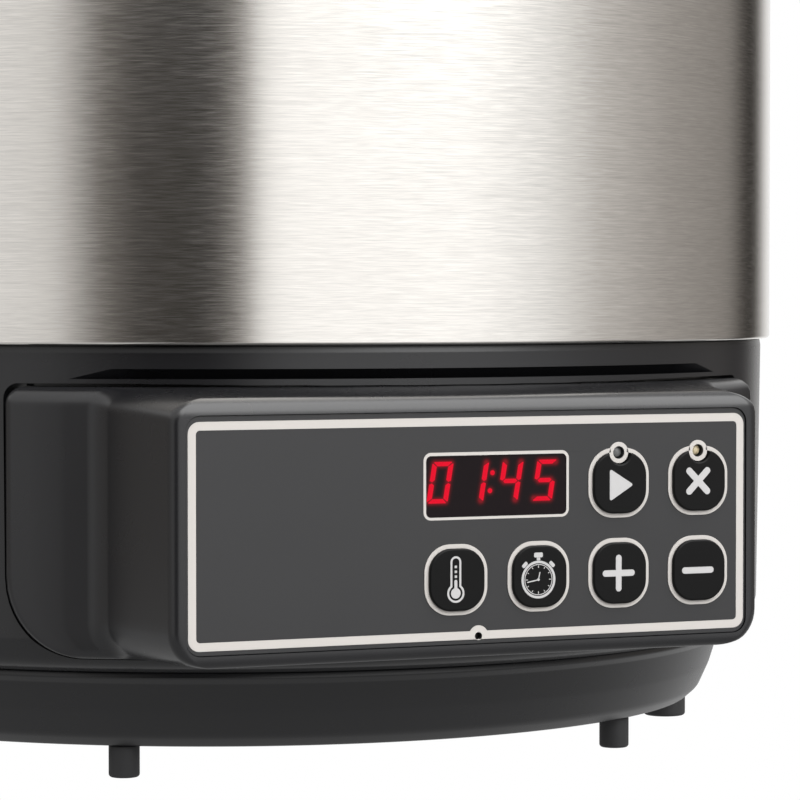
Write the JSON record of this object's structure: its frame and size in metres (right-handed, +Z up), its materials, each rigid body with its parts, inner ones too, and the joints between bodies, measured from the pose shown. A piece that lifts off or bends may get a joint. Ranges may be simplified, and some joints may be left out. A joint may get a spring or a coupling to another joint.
{
  "type": "slow cooker",
  "caption": "Round electric slow cooker: brushed steel wall on a dark plastic base, with a protruding digital control panel, side handles, lift-out crock and glass lid.",
  "frame": {"origin": "on the body's axis, on the surface that the feet stand on", "axes": "+Z up along the body's axis, -Y out of the control panel, +X to the panel's right"},
  "size_m": [0.38, 0.3318, 0.333],
  "materials": {
    "brushed_steel": "stainless sheet with fine brushing round the body",
    "base_plastic": "dark grey moulded plastic, satin",
    "fascia_plastic": "dark grey fascia film, satin, with silver printed lines",
    "button_cap": "black cap, semi-gloss, with a silver printed symbol",
    "foot_rubber": "black rubber, matte",
    "seal_rubber": "black silicone rubber, satin",
    "smoked_glass": "dark red-tinted display window, glossy",
    "light_lens": "milky light pipe, unlit",
    "circuit_board": "green solder mask",
    "electronics": "black moulded component case",
    "aluminium": "drawn sheet, satin",
    "zinc_steel": "zinc-plated steel",
    "stoneware": "black gloss glaze",
    "lid_glass": "clear tempered glass"
  },
  "bodies": {
    "base": {"steel_wall": "brushed_steel", "base_band": "base_plastic", "bottom_shell": "base_plastic", "top_rim": "brushed_steel", "front_peg_1": "foot_rubber", "front_peg_2": "foot_rubber", "foot_1": "foot_rubber", "foot_2": "foot_rubber", "foot_3": "foot_rubber", "foot_4": "foot_rubber", "bottom_screw_1": "zinc_steel", "bottom_screw_2": "zinc_steel", "bottom_screw_3": "zinc_steel", "bottom_screw_4": "zinc_steel", "control_housing": "base_plastic", "fascia_plate": "fascia_plastic", "display_window": "smoked_glass", "display_module": "electronics", "control_board": "circuit_board", "switch_temperature": "electronics", "switch_timer": "electronics", "switch_plus": "electronics", "switch_minus": "electronics", "switch_play": "electronics", "light_play": "light_lens", "switch_cancel": "electronics", "light_cancel": "light_lens", "heating_liner": "aluminium", "side_heater": "zinc_steel", "bottom_heater": "zinc_steel", "heat_shield": "zinc_steel", "temperature_sensor": "aluminium", "thermal_fuse": "electronics", "power_board": "circuit_board", "transformer": "electronics", "relay": "electronics", "rear_housing": "base_plastic", "inlet_body": "electronics", "inlet_pin_1": "zinc_steel", "inlet_pin_2": "zinc_steel", "inlet_pin_3": "zinc_steel", "handle_right": "base_plastic", "handle_screw_right_1": "zinc_steel", "handle_screw_right_2": "zinc_steel", "handle_left": "base_plastic", "handle_screw_left_1": "zinc_steel", "handle_screw_left_2": "zinc_steel"},
    "crock": {"crock": "stoneware"},
    "lid": {"lid_glass": "lid_glass", "lid_rim_band": "brushed_steel", "steam_vent": "seal_rubber", "knob_washer": "seal_rubber", "lid_knob": "base_plastic", "knob_screw": "zinc_steel"},
    "button_temperature": {"button_temperature": "button_cap"},
    "button_timer": {"button_timer": "button_cap"},
    "button_plus": {"button_plus": "button_cap"},
    "button_minus": {"button_minus": "button_cap"},
    "button_play": {"button_play": "button_cap"},
    "button_cancel": {"button_cancel": "button_cap"}
  },
  "joints": [
    {"name": "crock_lift", "type": "slide", "parent": "base", "child": "crock", "axis": [0, 0, 1], "range_m": [0, 0.2]},
    {"name": "lid_lift", "type": "slide", "parent": "crock", "child": "lid", "axis": [0, 0, 1], "range_m": [0, 0.12]},
    {"name": "temperature_press", "type": "slide", "parent": "base", "child": "button_temperature", "axis": [0, 1, 0], "range_m": [0, 0.0008], "stiffness_N_per_m": 500, "springref_m": -0.0008},
    {"name": "timer_press", "type": "slide", "parent": "base", "child": "button_timer", "axis": [0, 1, 0], "range_m": [0, 0.0008], "stiffness_N_per_m": 500, "springref_m": -0.0008},
    {"name": "plus_press", "type": "slide", "parent": "base", "child": "button_plus", "axis": [0, 1, 0], "range_m": [0, 0.0008], "stiffness_N_per_m": 500, "springref_m": -0.0008},
    {"name": "minus_press", "type": "slide", "parent": "base", "child": "button_minus", "axis": [0, 1, 0], "range_m": [0, 0.0008], "stiffness_N_per_m": 500, "springref_m": -0.0008},
    {"name": "play_press", "type": "slide", "parent": "base", "child": "button_play", "axis": [0, 1, 0], "range_m": [0, 0.0008], "stiffness_N_per_m": 500, "springref_m": -0.0008},
    {"name": "cancel_press", "type": "slide", "parent": "base", "child": "button_cancel", "axis": [0, 1, 0], "range_m": [0, 0.0008], "stiffness_N_per_m": 500, "springref_m": -0.0008}
  ]
}
